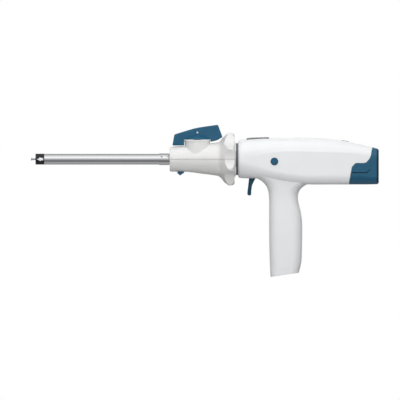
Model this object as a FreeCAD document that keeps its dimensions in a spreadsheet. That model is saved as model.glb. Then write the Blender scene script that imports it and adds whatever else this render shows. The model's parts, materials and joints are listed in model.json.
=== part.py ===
import FreeCAD, Part
import math
import os

import Sketcher
from FreeCAD import Placement, Rotation, Vector

# Powered linear stapler, in millimetres.
# The shaft lies on X with the front face of its tip at the origin, and the handle is towards +X.
# +Z is up, and the side with the arming button is -Y.

doc = FreeCAD.newDocument("powered_linear_stapler")
sheet = doc.addObject("Spreadsheet::Sheet", "sizes")

SIZES = {
    # Shaft, from its tip back to the knob
    "shaft_length": 147.6,
    "shaft_radius": 6.0,
    "tube_wall": 0.55,
    "tip_length": 9.6,
    "tip_wall": 1.4,
    "socket_depth": 12.0,
    "tube_in_knob": 11.0,
    "tube_step": 0.2,
    "collar_length": 11.6,
    "collar_radius": 6.55,
    "collar_gap": 0.4,
    "dimple_radius": 0.8,
    # Firing rod and its travel
    "rod_radius": 2.2,
    "rod_neck_radius": 1.1,
    "rod_tip_length": 5.0,
    "rod_head_length": 1.2,
    "rod_head_radius": 1.5,
    "rod_disc_radius": 3.4,
    "rod_disc_length": 2.0,
    "firing_stroke": 55.0,
    # Clearances
    "running_gap": 0.06,
    "loose_gap": 0.3,
    "seat_gap": 0.05,
    # Rotation knob, as radii at stations along its length
    "knob_length": 72.6,
    "knob_front_radius": 13.6,
    "knob_waist_offset": 24.0,
    "knob_waist_radius": 14.5,
    "knob_throat_offset": 54.5,
    "knob_throat_radius": 18.5,
    "flange_offset": 64.5,
    "flange_radius": 30.9,
    "flange_lip": 1.9,
    "flange_rear_lip": 4.8,
    "knob_collar_length": 1.2,
    "knob_collar_radius": 19.3,
    "knob_wall": 2.8,
    "knob_front_wall": 4.0,
    "flute_count": 8,
    "flute_radius": 22.0,
    "flute_depth": 4.1,
    "flute_tilt": 5.0,
    # Hub that carries the knob in the nose
    "hub_radius": 9.0,
    "hub_bore_radius": 6.1,
    "hub_flange_radius": 11.4,
    "hub_flange_length": 2.5,
    "hub_behind_nose": 8.0,
    "ring_groove_length": 1.3,
    "ring_thickness": 1.2,
    "ring_outer_radius": 11.6,
    "ring_depth": 1.0,
    # Boss and articulation lever
    "boss_offset": 30.5,
    "boss_radius": 14.0,
    "boss_top": 21.1,
    "boss_roof": 3.2,
    "pivot_radius": 4.0,
    "lever_thickness": 10.0,
    "lever_bottom": 14.9,
    "lever_nose_top": 27.2,
    "lever_nose_reach": 27.6,
    "lever_crest": 34.4,
    "lever_tail_top": 37.9,
    "lever_tail_reach": 22.6,
    "lever_tail_tip": 27.7,
    "lever_tail_low": 24.3,
    "lever_heel_reach": 22.0,
    "lever_heel_low": 20.8,
    "lever_toe_low": 18.9,
    "lever_dome_top": 26.4,
    "lever_edge": 1.2,
    "lever_pin_level": 29.3,
    "lever_pin_radius": 1.0,
    "crank_radius": 4.0,
    "crank_disc_radius": 6.6,
    "crank_pin_radius": 1.5,
    "crank_play": 0.35,
    # Articulation link
    "link_width": 3.2,
    "link_thickness": 1.4,
    "link_level": 3.2,
    "link_front": 3.0,
    "yoke_length": 12.0,
    "yoke_thickness": 2.0,
    # Unload slider under the knob
    "slider_offset": 7.4,
    "slider_length": 9.0,
    "slider_width": 8.0,
    "slider_height": 3.3,
    "slider_neck": 5.0,
    "slider_travel": 6.0,
    # Nose of the handle
    "nose_ring_length": 2.5,
    "nose_ring_radius": 17.6,
    "nose_wall": 3.0,
    "bush_wall": 2.0,
    "bush_flange": 1.4,
    # Body and grip; the stations themselves follow below
    "shell_wall": 2.0,
    "grip_wall": 2.2,
    "nose_edge": 3.0,
    "nose_face_radius": 21.0,
    "rear_edge": 2.4,
    "sole_front_level": -129.8,
    "sole_rear_level": -124.8,
    "rib_thickness": 1.5,
    "screw_radius": 1.5,
    "screw_head_radius": 2.6,
    "screw_boss_radius": 3.6,
    # Window, lens and arming button
    "window_offset": 9.1,
    "window_length": 24.8,
    "window_width": 18.0,
    "window_proud": 0.8,
    "lens_proud": 0.45,
    "lens_offset": 113.8,
    "lens_length": 7.8,
    "lens_width": 6.0,
    "button_offset": 39.8,
    "button_level": -2.6,
    "button_radius": 3.4,
    "bezel_radius": 4.2,
    "button_proud": 1.0,
    "button_travel": 1.5,
    "button_stem": 5.0,
    # Trigger
    "trigger_offset": 16.0,
    "trigger_level": -12.0,
    "trigger_pin_radius": 1.5,
    "trigger_eye": 4.0,
    "trigger_width": 6.0,
    "trigger_tip_low": 40.0,
    "trigger_slot_front": 8.8,
    "trigger_slot_rear": 25.0,
    # Gear train in the grip
    "drive_offset": 48.0,
    "cross_shaft_level": -10.0,
    "tooth_module": 1.0,
    "pressure_angle": 25.0,
    "tooth_addendum": 0.8,
    "tooth_dedendum": 1.05,
    "tooth_backlash": 0.16,
    "pinion_teeth": 12,
    "pinion_width": 6.0,
    "bevel_gear_teeth": 24,
    "bevel_pinion_teeth": 12,
    "bevel_inner_share": 0.7,
    "cross_shaft_radius": 2.0,
    "output_shaft_radius": 2.0,
    "rack_lead": 15.0,
    "rack_top": 4.0,
    "rack_rear": 107.0,
    "coupler_radius": 5.5,
    "coupler_length": 10.0,
    "motor_radius": 11.0,
    "motor_top": -52.0,
    "motor_length": 48.0,
    "gearbox_length": 18.0,
    "frame_thickness": 2.0,
    "left_frame_side": 9.3,
    "right_frame_side": 12.3,
    "frame_reach": 16.0,
    "guide_offset": 16.0,
    "guide_length": 12.0,
    # Boards and switches
    "board_thickness": 1.6,
    "board_level": 12.0,
    "board_width": 26.0,
    "board_front": 30.0,
    "board_rear": 106.0,
    # Battery pack
    "pack_front": 112.0,
    "pack_cover": 1.6,
    "bulkhead_offset": 108.2,
    "bulkhead_thickness": 2.0,
    "pack_high": 10.6,
    "pack_wall": 1.2,
    "cell_radius": 8.3,
    "cell_length": 34.0,
    "cell_gap": 0.2,
    "cell_level": -7.5,
    "latch_depth": 1.4,
    "latch_low": -15.1,
    "latch_slope": 3.8,
    "latch_rear_offset": 145.2,
    "latch_gap": 0.35,
    "seam_gap": 0.15,
    "skin_gap": 0.02,
    "parting_gap": 0.3,
}

# Stations of the body behind the nose: setback, bottom, top, half width, upper and lower corner radius,
# and the crease of the side panel: its level and how far the wall above it leans in, in degrees.
BODY_STATIONS = [
    (0.0, -20.3, 20.9, 20.6, 19.5, 19.5, 0.3, 0.0),
    (12.0, -21.2, 22.7, 21.4, 18.5, 17.0, 2.0, 3.0),
    (24.0, -21.5, 23.3, 21.5, 17.5, 13.5, 5.0, 9.0),
    (46.0, -24.2, 23.5, 21.5, 16.5, 10.5, 8.2, 16.0),
    (77.0, -27.8, 23.5, 21.5, 15.5, 10.5, 8.2, 17.0),
    (95.0, -27.9, 22.9, 21.5, 15.0, 10.5, 7.9, 17.0),
    (113.0, -27.9, 20.7, 21.5, 14.0, 10.5, 7.4, 17.0),
    (126.0, -27.9, 18.1, 21.3, 12.5, 10.5, 6.6, 14.0),
    (139.0, -27.9, 15.2, 21.0, 11.0, 10.0, 4.4, 7.0),
    (154.6, -27.6, 11.2, 20.4, 10.0, 9.5, 0.6, 0.0),
]

# Stations of the grip: level, front, rear, half thickness and corner radius.
GRIP_STATIONS = [
    (-12.0, 4.0, 122.0, 17.6, 15.5),
    (-19.0, 14.5, 107.0, 16.6, 14.5),
    (-23.5, 24.6, 92.0, 16.0, 14.0),
    (-28.5, 30.0, 74.5, 15.6, 13.5),
    (-33.4, 32.5, 68.2, 15.3, 13.0),
    (-41.0, 33.8, 65.6, 15.0, 12.0),
    (-55.0, 34.0, 68.1, 15.0, 11.5),
    (-79.0, 34.0, 70.3, 15.3, 11.5),
    (-105.0, 34.4, 69.8, 15.0, 11.0),
    (-118.0, 34.9, 68.5, 14.8, 10.8),
    (-131.0, 35.8, 67.2, 14.5, 10.5),
]

# Outline of the battery pack seen from the side: setback from the nose, height, corner radius.
PACK_LINE = [
    (120.4, -27.9, 0.0),
    (125.0, -8.6, 4.5),
    (129.0, -4.3, 3.0),
    (140.5, -4.2, 5.0),
    (145.6, 2.0, 9.0),
    (148.4, 14.2, 0.0),
]


class Size:
    """A length, angle or count: its number, and the sheet expression that drives it."""

    def __init__(self, number, text):
        self.number = number
        self.text = text

    def joined(self, other, sign, number):
        return Size(number, f"({self.text} {sign} {text_of(other)})")

    def __add__(self, other):
        return self.joined(other, "+", self.number + number_of(other))

    def __sub__(self, other):
        return self.joined(other, "-", self.number - number_of(other))

    def __mul__(self, other):
        return self.joined(other, "*", self.number * number_of(other))

    def __truediv__(self, other):
        return self.joined(other, "/", self.number / number_of(other))

    def __radd__(self, other):
        return Size(float(other), repr(float(other))) + self

    def __rsub__(self, other):
        return Size(float(other), repr(float(other))) - self

    def __rmul__(self, other):
        return Size(float(other), repr(float(other))) * self

    def __neg__(self):
        return Size(-self.number, f"(0 - {self.text})")


def text_of(value):
    """The text that binds a property to a size or a plain number."""
    return value.text if isinstance(value, Size) else repr(float(value))


def number_of(value):
    """The number behind a size or a plain number."""
    return value.number if isinstance(value, Size) else float(value)


def tangent(angle):
    """The tangent of an angle in degrees, as a bound number."""
    return Size(math.tan(math.radians(number_of(angle))), f"tan({text_of(angle)})")


class Sizes:
    """The cells of the sheet, read by their aliases."""

    def __init__(self):
        self.row = 0

    def add(self, alias, number):
        """Write one named cell and hand back its size."""
        self.row += 1
        sheet.set(f"A{self.row}", alias.replace("_", " "))
        sheet.set(f"B{self.row}", str(number))
        sheet.setAlias(f"B{self.row}", alias)
        value = Size(float(number), f"sizes.{alias}")
        setattr(self, alias, value)
        return value


d = Sizes()
for alias, number in SIZES.items():
    d.add(alias, number)


def station_sizes(group, names, rows):
    """Put a list of stations in the sheet, one named cell for each number."""
    found = []
    for index, row in enumerate(rows, start=1):
        cells = [d.add(f"{group}{index}_{name}", number) for name, number in zip(names, row)]
        found.append(cells)
    return found


body_rows = station_sizes(
    "body", ("setback", "low", "high", "side", "corner", "heel", "crease", "lean"), BODY_STATIONS)
grip_rows = station_sizes("grip", ("level", "front", "rear", "side", "corner"), GRIP_STATIONS)
pack_rows = station_sizes("pack", ("setback", "level", "corner"), PACK_LINE)
doc.recompute()

# Places along the shaft axis that several pieces share
knob_front = d.shaft_length
boss_x = knob_front + d.boss_offset
knob_rear = knob_front + d.knob_length
nose_x = knob_rear + d.loose_gap + d.nose_ring_length
drive_x = nose_x + d.drive_offset
rack_front = drive_x - d.rack_lead
pack_x = nose_x + d.pack_front


# Helpers that build bound objects

TURNS = {
    "Z": Rotation(),
    "-Z": Rotation(Vector(1, 0, 0), 180),
    "X": Rotation(Vector(0, 1, 0), 90),
    "-X": Rotation(Vector(0, 1, 0), -90),
    "Y": Rotation(Vector(1, 0, 0), -90),
    "-Y": Rotation(Vector(1, 0, 0), 90),
}


def bind(thing, path, value):
    """Tie one property to the sheet."""
    thing.setExpression(path, text_of(value))


def stand(thing, where, along="Z"):
    """Turn a piece's own Z to the named direction and bind its place."""
    thing.Placement = Placement(Vector(), TURNS[along])
    for axis, value in zip("xyz", where):
        bind(thing, f"Placement.Base.{axis}", value)
    return thing


def cylinder(name, radius, length, where, along="Z"):
    """A cylinder that starts at a point and runs one way."""
    thing = doc.addObject("Part::Cylinder", name)
    bind(thing, "Radius", radius)
    bind(thing, "Height", length)
    return stand(thing, where, along)


def cone(name, first_radius, last_radius, length, where, along="Z"):
    """A cone frustum that starts at a point and runs one way."""
    thing = doc.addObject("Part::Cone", name)
    bind(thing, "Radius1", first_radius)
    bind(thing, "Radius2", last_radius)
    bind(thing, "Height", length)
    return stand(thing, where, along)


def box(name, low, high):
    """A box between two corners."""
    thing = doc.addObject("Part::Box", name)
    for prop, start, stop in zip(("Length", "Width", "Height"), low, high):
        bind(thing, prop, stop - start)
    return stand(thing, low)


def fuse(name, pieces):
    """Join pieces that touch or cross."""
    thing = doc.addObject("Part::MultiFuse", name)
    thing.Shapes = pieces
    return thing


def cut(name, base, tools):
    """Take tools away from a base."""
    thing = doc.addObject("Part::Cut", name)
    thing.Base = base
    thing.Tool = tools[0] if len(tools) == 1 else fuse(f"{name}_tools", tools)
    return thing


def common(name, first, second):
    """Keep what two pieces share."""
    thing = doc.addObject("Part::Common", name)
    thing.Base = first
    thing.Tool = second
    return thing


def group(name, pieces):
    """Separate solids that make one node."""
    thing = doc.addObject("Part::Compound", name)
    thing.Links = pieces
    return thing


def ring(name, outer, inner, length, where, along="Z"):
    """A round sleeve."""
    sleeve = cylinder(f"{name}_outside", outer, length, where, along)
    bore = cylinder(f"{name}_bore", inner, length, where, along)
    return cut(name, sleeve, [bore])


def drawing(owner, plane, level=0.0):
    """A sketch on one of a body's own origin planes, or at a level above it."""
    made = owner.newObject("Sketcher::SketchObject", f"{owner.Name}_sketch")
    face = [item for item in owner.Origin.OriginFeatures if item.Role == plane][0]
    made.AttachmentSupport = [(face, "")]
    made.MapMode = "FlatFace"
    bind(made, "AttachmentOffset.Base.z", level)
    return made


def fix_point(made, rules, geometry, end, spot):
    """Two rules that hold a point at bound distances from the sketch's origin."""
    for kind, value in zip(("DistanceX", "DistanceY"), spot):
        rules.append((Sketcher.Constraint(kind, -1, 1, geometry, end, number_of(value)), value))


def apply_rules(made, rules):
    """Add the constraints at once, then bind those that have a size."""
    first = made.ConstraintCount
    made.addConstraint([rule for rule, value in rules])
    for index, (rule, value) in enumerate(rules, start=first):
        if value is not None:
            bind(made, f"Constraints[{index}]", value)


def outline(made, corners):
    """A closed outline. A corner is (across, up), or (across, up, radius) where it is rounded."""
    points = [Vector(number_of(corner[0]), number_of(corner[1]), 0) for corner in corners]
    count = len(points)
    arrive = list(points)
    leave = list(points)
    arcs = {}
    for index, corner in enumerate(corners):
        if len(corner) < 3 or number_of(corner[2]) <= 0:
            continue
        point = points[index]
        radius = number_of(corner[2])
        back = (points[index - 1] - point).normalize()
        ahead = (points[(index + 1) % count] - point).normalize()
        half = back.getAngle(ahead) / 2
        reach = radius / math.tan(half)
        arrive[index] = point + back * reach
        leave[index] = point + ahead * reach
        centre = point + (back + ahead).normalize() * (radius / math.sin(half))
        turns_left = back.cross(ahead).z < 0
        ends = [arrive[index], leave[index]] if turns_left else [leave[index], arrive[index]]
        angles = [math.atan2(end.y - centre.y, end.x - centre.x) for end in ends]
        circle = Part.Circle(centre, Vector(0, 0, 1), radius)
        arcs[index] = (Part.ArcOfCircle(circle, angles[0], angles[1]), turns_left)
    lines = []
    for index in range(count):
        side = Part.LineSegment(leave[index], arrive[(index + 1) % count])
        lines.append(made.addGeometry(side))
    rules = []
    for index, corner in enumerate(corners):
        coming, going = lines[index - 1], lines[index]
        if index not in arcs:
            rules.append((Sketcher.Constraint("Coincident", coming, 2, going, 1), None))
            fix_point(made, rules, going, 1, corner)
            continue
        shape, turns_left = arcs[index]
        arc = made.addGeometry(shape)
        first, last = (1, 2) if turns_left else (2, 1)
        rules.append((Sketcher.Constraint("Tangent", coming, 2, arc, first), None))
        rules.append((Sketcher.Constraint("Tangent", going, 1, arc, last), None))
        rules.append((Sketcher.Constraint("Radius", arc, number_of(corner[2])), corner[2]))
        mark = made.addGeometry(Part.Point(points[index]), True)
        rules.append((Sketcher.Constraint("PointOnObject", mark, 1, coming), None))
        rules.append((Sketcher.Constraint("PointOnObject", mark, 1, going), None))
        fix_point(made, rules, mark, 1, corner)
    apply_rules(made, rules)
    return made


def new_body(name):
    """An empty body."""
    return doc.addObject("PartDesign::Body", name)


def pad(owner, made, length, midplane=True):
    """Thicken a sketch, to both sides or along its normal."""
    feature = owner.newObject("PartDesign::Pad", f"{owner.Name}_pad")
    feature.Profile = made
    feature.Midplane = midplane
    bind(feature, "Length", length)
    made.Visibility = False
    return feature


def revolve(owner, made, axis):
    """Turn a sketch about its own level or upright axis."""
    feature = owner.newObject("PartDesign::Revolution", f"{owner.Name}_turned")
    feature.Profile = made
    feature.ReferenceAxis = (made, [axis])
    feature.Angle = 360
    return feature


def plate(name, corners, thickness, plane="XZ_Plane", level=0.0):
    """A body padded from one outline to both sides of its plane."""
    owner = new_body(name)
    pad(owner, outline(drawing(owner, plane, level), corners), thickness)
    return owner


def turned(name, corners, plane="XZ_Plane", axis="H_Axis"):
    """A body turned from one outline."""
    owner = new_body(name)
    revolve(owner, outline(drawing(owner, plane), corners), axis)
    return owner


def loft(owner, sections):
    """Add a smooth solid through a row of sections."""
    feature = owner.newObject("PartDesign::AdditiveLoft", f"{owner.Name}_loft")
    feature.Profile = sections[0]
    feature.Sections = sections[1:]
    return feature


def soften(owner, radius, picked):
    """Round the edges of a body that a test picks."""
    doc.recompute()
    base = owner.Tip
    names = [f"Edge{index}" for index, edge in enumerate(base.Shape.Edges, start=1) if picked(edge.BoundBox)]
    feature = owner.newObject("PartDesign::Fillet", f"{owner.Name}_soft")
    feature.Base = (base, names)
    bind(feature, "Radius", radius)
    return feature


NODES = []


def node(thing, label):
    """Keep a finished piece under the name of its file."""
    thing.Label = label
    NODES.append(thing)
    return thing


def copy_of(name, thing, where=(0.0, 0.0, 0.0)):
    """The same shape again in another place."""
    link = doc.addObject("Part::Compound", name)
    link.Links = [thing]
    return stand(link, where)


# A length beyond every piece, for tools that cut right through
FAR = 60.0

# Handle: a body loft and a grip loft, made once as the outer form and once as the hollow inside

def body_sections(owner, inset, front):
    """Rounded sections across the body, drawn in by a wall."""
    sections = []
    for setback, low, high, side, corner, heel, crease, lean in body_rows:
        level = nose_x + setback
        if not sections:
            level = level + front
        if len(sections) == len(body_rows) - 1:
            level = level - inset
        made = drawing(owner, "YZ_Plane", level)
        half = side - inset
        bend, turn = corner - inset, heel - inset
        base, roof = low + inset, high - inset
        fold = crease - inset * tangent(lean / 2)
        top_half = side - (high - crease) * tangent(lean) - inset * tangent(45.0 - lean / 2)
        corners = [(-half, base, turn), (half, base, turn), (half, fold),
                   (top_half, roof, bend), (-top_half, roof, bend), (-half, fold)]
        sections.append(outline(made, corners))
    return sections


def grip_sections(owner, inset):
    """Rounded sections across the grip, drawn in by a wall."""
    sections = []
    for level, front, rear, side, corner in grip_rows:
        made = drawing(owner, "XY_Plane", level)
        start, stop = nose_x + front + inset, nose_x + rear - inset
        half = side - inset
        bend = corner - inset
        corners = [(start, -half, bend), (stop, -half, bend), (stop, half, bend), (start, half, bend)]
        sections.append(outline(made, corners))
    return sections


outer_body = new_body("outer_body")
loft(outer_body, body_sections(outer_body, 0.0, 0.0))
nose_guard = turned("nose_guard", [
    (nose_x, 0.0),
    (nose_x, d.nose_face_radius, d.nose_edge),
    (nose_x + d.nose_edge, d.nose_face_radius + 0.3),
    (nose_x + 2 * d.nose_edge, FAR),
    (nose_x + 3 * FAR, FAR),
    (nose_x + 3 * FAR, 0.0),
])
rounded_body = common("rounded_body", outer_body, nose_guard)
outer_grip = new_body("outer_grip")
loft(outer_grip, grip_sections(outer_grip, 0.0))
inner_body = new_body("inner_body")
loft(inner_body, body_sections(inner_body, d.shell_wall, d.nose_wall))
inner_grip = new_body("inner_grip")
loft(inner_grip, grip_sections(inner_grip, d.grip_wall))
outer_form = fuse("outer_form", [rounded_body, outer_grip])
inner_form = fuse("inner_form", [inner_body, inner_grip])

def sole_prism(name, lift):
    """What lies below the slanted sole of the grip."""
    front = nose_x + 34.0
    corners = [
        (front - FAR / 2, d.sole_front_level + lift - (d.sole_rear_level - d.sole_front_level) * 30 / 34),
        (front + FAR, d.sole_front_level + lift + (d.sole_rear_level - d.sole_front_level) * 60 / 34),
        (front + FAR, d.sole_front_level - FAR),
        (front - FAR / 2, d.sole_front_level - FAR),
    ]
    return plate(name, corners, 2 * FAR)


def pack_prism(name, gap):
    """The side view of the battery pack, carried through the body."""
    corners = [(nose_x + setback + gap, level - gap, bend) for setback, level, bend in pack_rows]
    first = corners[0]
    last = corners[-1]
    corners[0] = (first[0], first[1] - 6.0)
    corners[-1] = (last[0], last[1] + 6.0)
    corners += [(last[0] + 20.0, last[1] + 6.0), (last[0] + 20.0, first[1] - 6.0)]
    return plate(name, corners, 2 * FAR)


outside = cut("outside", outer_form, [sole_prism("sole_outside", 0.0)])
hollow = cut("hollow", inner_form, [sole_prism("sole_inside", d.grip_wall)])

# Shaft: tip sleeve, tube, collar, core

tube_bore = d.shaft_radius - d.tube_wall
tip_bore = d.shaft_radius - d.tip_wall
core_radius = tube_bore - d.seat_gap
rod_bore = d.rod_radius + d.loose_gap
link_slot = d.link_width / 2 + d.loose_gap
link_top = d.link_level + d.link_thickness

sleeve_blank = turned("sleeve_blank", [
    (0.0, tip_bore),
    (0.0, d.shaft_radius),
    (d.tip_length, d.shaft_radius),
    (d.tip_length, core_radius),
    (d.socket_depth, core_radius),
    (d.socket_depth, tip_bore),
])
keyway_top = box("keyway_top", (-1.0, -link_slot, 0.0),
                 (d.socket_depth + 1.0, link_slot, link_top + d.loose_gap))
keyway_low = box("keyway_low", (-1.0, -link_slot, -link_top), (d.socket_depth / 2, link_slot, 0.0))
node(cut("tip", sleeve_blank, [keyway_top, keyway_low]), "tip_sleeve")

tube_end = knob_front + d.tube_in_knob
collar_x = knob_front - d.collar_length
seat_radius = d.shaft_radius - d.tube_step
tube_shown = ring("tube_shown", d.shaft_radius, tube_bore, collar_x - d.tip_length, (d.tip_length, 0, 0), "X")
tube_seated = ring("tube_seated", seat_radius, tube_bore, tube_end - collar_x, (collar_x, 0, 0), "X")
node(fuse("tube", [tube_shown, tube_seated]), "shaft_tube")

core_rod = cylinder("core_rod", core_radius, tube_end - d.socket_depth, (d.socket_depth, 0, 0), "X")
core_hole = cylinder("core_hole", rod_bore, tube_end, (0, 0, 0), "X")
core_slot = box(
    "core_slot",
    (0.0, -link_slot, d.link_level - d.loose_gap),
    (tube_end + 1.0, link_slot, d.shaft_radius),
)
node(cut("core", core_rod, [core_hole, core_slot]), "shaft_core")

collar_ring = ring("collar_ring", d.collar_radius, seat_radius + d.seat_gap, d.collar_length - d.collar_gap,
                   (collar_x, 0, 0), "X")
dimples = []
for index, (along, up) in enumerate(((2.2, 2.7), (d.collar_length - 2.4, 2.4))):
    dimples.append(cylinder(f"dimple{index}", d.dimple_radius, 3.0, (collar_x + along, -4.0, up), "-Y"))
node(cut("collar", collar_ring, dimples), "shaft_collar")

# Firing rod, with a round disc that turns in the coupler of the rack

coupler_x = rack_front - d.coupler_length
disc_x = coupler_x + 2.5
rod_rear = disc_x + d.rod_disc_length
rod = turned("rod", [
    (-d.rod_tip_length, 0.0),
    (-d.rod_tip_length, d.rod_head_radius, 0.3),
    (d.rod_head_length - d.rod_tip_length, d.rod_head_radius, 0.3),
    (d.rod_head_length - d.rod_tip_length, d.rod_neck_radius),
    (0.0, d.rod_neck_radius),
    (0.0, d.rod_radius),
    (disc_x + 0.1, d.rod_radius),
    (disc_x + 0.1, d.rod_disc_radius),
    (rod_rear + 0.1, d.rod_disc_radius),
    (rod_rear + 0.1, 0.0),
])
node(rod, "firing_rod")

# Rotation knob: a turned form with scooped flutes, a boss on top, parted at the shaft's level

cavity_radius = d.knob_front_radius - d.knob_wall
throat_x = knob_front + d.knob_throat_offset - d.hub_flange_length
knob_form = turned("knob_form", [
    (knob_front, 0.0),
    (knob_front, d.knob_front_radius, 1.2),
    (knob_front + d.knob_waist_offset, d.knob_waist_radius, 25.0),
    (knob_front + d.knob_throat_offset, d.knob_throat_radius, 8.0),
    (knob_front + d.flange_offset, d.flange_radius, d.flange_lip),
    (knob_rear - d.knob_collar_length, d.flange_radius, d.flange_rear_lip),
    (knob_rear - d.knob_collar_length, d.knob_collar_radius),
    (knob_rear, d.knob_collar_radius),
    (knob_rear, 0.0),
])
boss = cylinder("boss", d.boss_radius, d.boss_top, (boss_x, 0, 0))
flutes = []
flute_arm = d.flange_radius - d.flute_depth + d.flute_radius
flute_back = d.knob_length / 2
flute_slope = tangent(d.flute_tilt)
for index in range(int(d.flute_count.number)):
    turn = 360.0 / d.flute_count.number * index
    tool = doc.addObject("Part::Cylinder", f"flute{index}")
    bind(tool, "Radius", d.flute_radius)
    bind(tool, "Height", d.knob_length)
    spin = Rotation(Vector(1, 0, 0), turn)
    tilt = Rotation(Vector(0, 1, 0), 90 - d.flute_tilt.number)
    tool.Placement = Placement(Vector(), spin * tilt)
    rise = flute_arm - flute_back * flute_slope
    bind(tool, "Placement.Base.x", knob_rear - flute_back)
    bind(tool, "Placement.Base.y", rise * -math.sin(math.radians(turn)))
    bind(tool, "Placement.Base.z", rise * math.cos(math.radians(turn)))
    flutes.append(tool)
fluted = cut("fluted", knob_form, flutes)
cavity = cylinder("cavity", cavity_radius, throat_x - knob_front - d.knob_front_wall,
                  (knob_front + d.knob_front_wall, 0, 0), "X")
tube_hole = cylinder("tube_hole", seat_radius + d.seat_gap, 10.0, (knob_front - 1.0, 0, 0), "X")
hub_hole = cylinder("hub_hole", d.hub_radius + d.seat_gap, FAR, (throat_x - 1.0, 0, 0), "X")
hub_seat = cylinder("hub_seat", d.hub_flange_radius + d.seat_gap, d.hub_flange_length + 0.1,
                    (throat_x - 0.1, 0, 0), "X")
boss_room = cylinder("boss_room", d.boss_radius - d.knob_wall, d.boss_top - d.boss_roof, (boss_x, 0, 0))
pivot_hole = cylinder("pivot_hole", d.pivot_radius + d.running_gap, FAR, (boss_x, 0, 0))
slot_front = knob_front + d.slider_offset + 1.2
slot_rear = slot_front + d.slider_length - 2.0 + d.slider_travel + 0.4
slider_slot = box("slider_slot", (slot_front, -d.slider_neck / 2 - 0.15, -FAR),
                  (slot_rear, d.slider_neck / 2 + 0.15, -6.0))

KNOB_SCREWS = [(18.0, 8.6, -9.4, 5.0), (58.0, 13.5, -12.0, 8.0)]
knob_bosses = []
knob_screw_tools = []
knob_screws = []
for index, (along, side, head, top) in enumerate(KNOB_SCREWS):
    spot = (knob_front + along, side)
    name = f"knob_screw{index}"
    if index == 0:
        knob_bosses.append(cylinder(f"{name}_boss", 2.8, 20.0, (spot[0], spot[1], -10.0)))
    knob_screw_tools.append(cylinder(f"{name}_hole", 1.3, top - head + 0.3, (spot[0], spot[1], head)))
    knob_screw_tools.append(cylinder(f"{name}_well", 2.4, 20.0, (spot[0], spot[1], head), "-Z"))
    shank = cylinder(f"{name}_shank", 1.25, top - head, (spot[0], spot[1], head))
    cap = cylinder(f"{name}_cap", 2.3, 1.6, (spot[0], spot[1], head), "-Z")
    knob_screws.append(fuse(name, [shank, cap]))
boss_blanks = common("knob_boss_blanks", knob_bosses[0], knob_form)
knob_hollow = cut("knob_hollow", fuse("knob_rooms", [cavity, boss_room]), [boss_blanks])
knob_whole = cut("knob_whole", fuse("knob_solid", [fluted, boss]),
                 [knob_hollow, tube_hole, hub_hole, hub_seat, pivot_hole, slider_slot] + knob_screw_tools)
upper_half = box("upper_half", (knob_front - 1.0, -FAR, 0.0), (knob_rear + 1.0, FAR, FAR))
lower_half = box("lower_half", (knob_front - 1.0, -FAR, -FAR), (knob_rear + 1.0, FAR, -d.parting_gap))
node(common("knob_top", knob_whole, upper_half), "knob_upper")
node(common("knob_bottom", knob_whole, lower_half), "knob_lower")
node(group("knob_screw_set", knob_screws), "knob_screws")

# Hub and its snap ring, which hold the knob in the nose

hub_rear = nose_x + d.hub_behind_nose
groove_x = nose_x + d.nose_wall + d.bush_flange + 0.3
hub_blank = turned("hub_blank", [
    (throat_x, d.hub_bore_radius),
    (throat_x, d.hub_flange_radius),
    (throat_x + d.hub_flange_length, d.hub_flange_radius),
    (throat_x + d.hub_flange_length, d.hub_radius),
    (groove_x, d.hub_radius),
    (groove_x, d.hub_radius - d.ring_depth),
    (groove_x + d.ring_groove_length, d.hub_radius - d.ring_depth),
    (groove_x + d.ring_groove_length, d.hub_radius),
    (hub_rear, d.hub_radius, 0.5),
    (hub_rear, d.hub_bore_radius),
])
node(hub_blank, "swivel_hub")
snap_whole = ring("snap_whole", d.ring_outer_radius, d.hub_radius - d.ring_depth + d.seat_gap,
                  d.ring_thickness, (groove_x + 0.05, 0, 0), "X")
snap_mouth = box("snap_mouth", (groove_x - 1.0, -2.5, 0.0), (groove_x + 3.0, 2.5, FAR))
node(cut("snap", snap_whole, [snap_mouth]), "retaining_ring")

# Articulation lever: a fin with a domed hub, its pivot with a crank pin, and a cross pin

lever_base = d.boss_top + d.loose_gap
fin = plate("fin", [
    (boss_x - d.lever_nose_reach, d.lever_bottom, 1.0),
    (boss_x - d.lever_nose_reach + 2.2, d.lever_nose_top, 2.6),
    (boss_x - 2.0, d.lever_crest, 90.0),
    (boss_x + d.lever_tail_reach, d.lever_tail_top, 1.5),
    (boss_x + d.lever_tail_tip, d.lever_tail_low, 1.3),
    (boss_x + d.lever_heel_reach, d.lever_heel_low, 6.0),
    (boss_x + d.boss_radius + 0.6, d.lever_toe_low, 0.8),
    (boss_x + d.boss_radius + 0.6, lever_base),
    (boss_x - d.boss_radius - 0.6, lever_base),
    (boss_x - d.boss_radius - 0.6, d.lever_bottom, 0.8),
], d.lever_thickness)
soften(fin, d.lever_edge, lambda room: room.YLength < 0.01 and room.ZMax > d.lever_nose_top.number - 3.0)
dome = turned("dome", [
    (0.0, lever_base),
    (d.boss_radius - 0.2, lever_base),
    (d.boss_radius - 0.2, lever_base + 1.4, 1.0),
    (d.lever_thickness / 2 + 2.0, d.lever_dome_top, 6.0),
    (0.0, d.lever_dome_top),
], axis="V_Axis")
dome_there = copy_of("dome_there", dome, (boss_x, 0.0, 0.0))
stem_top = d.lever_pin_level + 2.4
stem_bore = cylinder("stem_bore", d.pivot_radius, stem_top - lever_base + 1.0, (boss_x, 0, lever_base - 1.0))
pin_bore = cylinder("pin_bore", d.lever_pin_radius, FAR, (boss_x, -FAR / 2, d.lever_pin_level), "Y")
lever = cut("lever", fuse("lever_solid", [fin, dome_there]), [stem_bore, pin_bore])
node(lever, "articulation_lever")

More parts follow.
